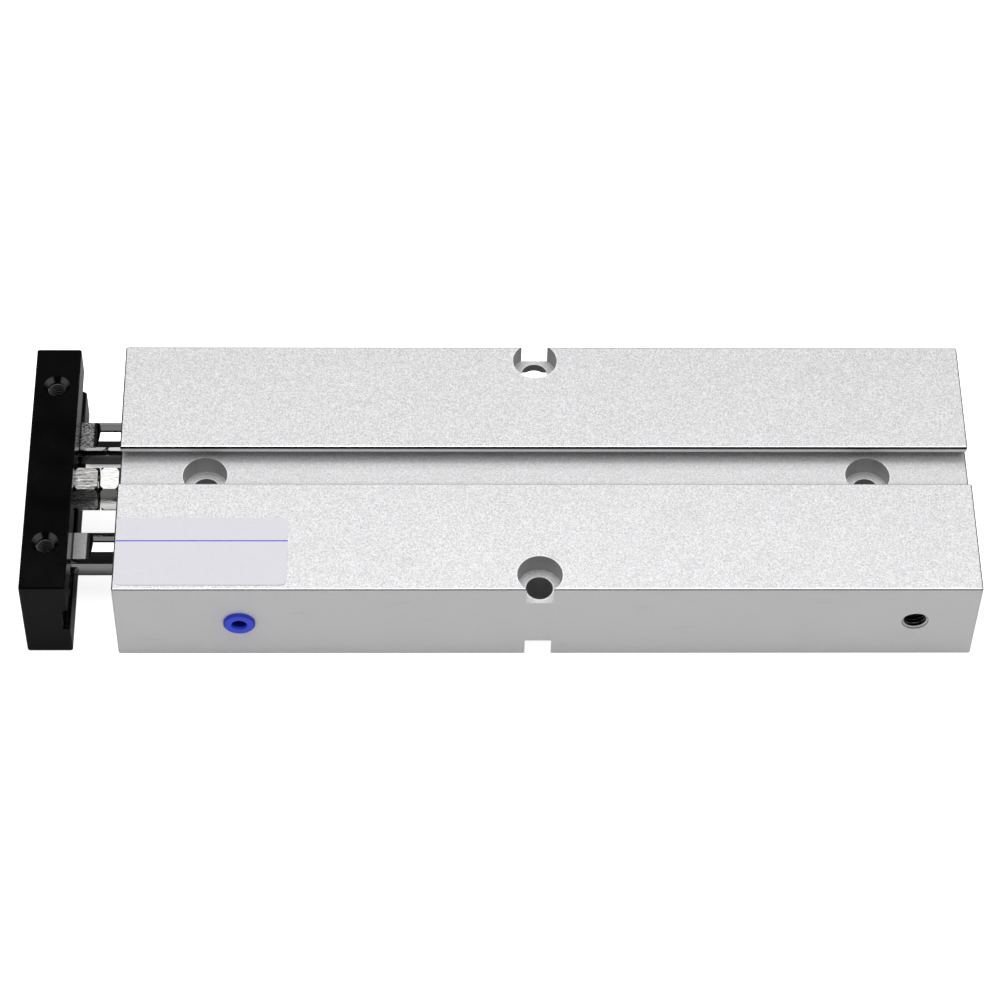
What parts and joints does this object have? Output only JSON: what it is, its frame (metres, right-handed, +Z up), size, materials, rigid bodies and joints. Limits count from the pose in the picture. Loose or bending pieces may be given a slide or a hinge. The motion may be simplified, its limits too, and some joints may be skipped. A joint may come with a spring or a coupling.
{
  "type": "guided pneumatic cylinder",
  "caption": "Flat twin-rod pneumatic cylinder: two pistons in one grooved aluminium body push a front plate that cannot turn, with an adjustable stop bolt.",
  "frame": {"origin": "centre of the four mounting holes, at half the body's height, in the plane of the rod axes", "axes": "+X along the body towards the blind end, so the plate moves out along -X; +Y away from the air ports; +Z up, through the wide faces"},
  "size_m": [0.177, 0.0577, 0.0211],
  "materials": {
    "clear_anodised": "bead-blasted, clear anodised, satin",
    "black_anodised": "black anodised, smooth satin",
    "plain_aluminium": "turned, bare",
    "chromed_steel": "hard chromed and polished",
    "zinc_steel": "bright zinc plated",
    "black_steel": "black oxide",
    "spring_steel": "phosphated spring steel",
    "bronze": "sintered bronze",
    "rubber": "black nitrile rubber",
    "bumper_rubber": "moulded polyurethane bumper",
    "wear_plastic": "filled wear-ring plastic",
    "magnet_ferrite": "plastic-bonded ferrite",
    "blue_plastic": "moulded blue plastic",
    "label_film": "pale gloss film, bare but for one thin blue rule"
  },
  "bodies": {
    "cylinder": {"body": "clear_anodised", "label": "label_film", "front_retaining_ring_left": "spring_steel", "rod_guide_left": "plain_aluminium", "guide_bush_left": "bronze", "rod_seal_left": "rubber", "guide_o_ring_left": "rubber", "front_bumper_left": "bumper_rubber", "rear_bumper_left": "bumper_rubber", "rear_cover_left": "plain_aluminium", "cover_o_ring_left": "rubber", "rear_retaining_ring_left": "spring_steel", "front_retaining_ring_right": "spring_steel", "rod_guide_right": "plain_aluminium", "guide_bush_right": "bronze", "rod_seal_right": "rubber", "guide_o_ring_right": "rubber", "front_bumper_right": "bumper_rubber", "rear_bumper_right": "bumper_rubber", "rear_cover_right": "plain_aluminium", "cover_o_ring_right": "rubber", "rear_retaining_ring_right": "spring_steel"},
    "carriage": {"front_plate": "black_anodised", "lock_nut": "zinc_steel", "rod_left": "chromed_steel", "piston_front_half_left": "plain_aluminium", "wear_ring_left": "wear_plastic", "magnet_left": "magnet_ferrite", "piston_rear_half_left": "plain_aluminium", "piston_seal_left": "rubber", "piston_nut_left": "zinc_steel", "plate_screw_left": "black_steel", "rod_right": "chromed_steel", "piston_front_half_right": "plain_aluminium", "wear_ring_right": "wear_plastic", "magnet_right": "magnet_ferrite", "piston_rear_half_right": "plain_aluminium", "piston_seal_right": "rubber", "piston_nut_right": "zinc_steel", "plate_screw_right": "black_steel"},
    "stop": {"stop_bolt": "zinc_steel"},
    "plug": {"port_plug": "blue_plastic"}
  },
  "joints": [
    {"name": "plate_stroke", "type": "slide", "parent": "cylinder", "child": "carriage", "axis": [-1, 0, 0], "range_m": [0, 0.1]},
    {"name": "stop_adjust", "type": "slide", "parent": "carriage", "child": "stop", "axis": [-1, 0, 0], "range_m": [0, 0.0005]},
    {"name": "plug_pull", "type": "slide", "parent": "cylinder", "child": "plug", "axis": [0, -1, 0], "range_m": [0, 0.012]}
  ]
}
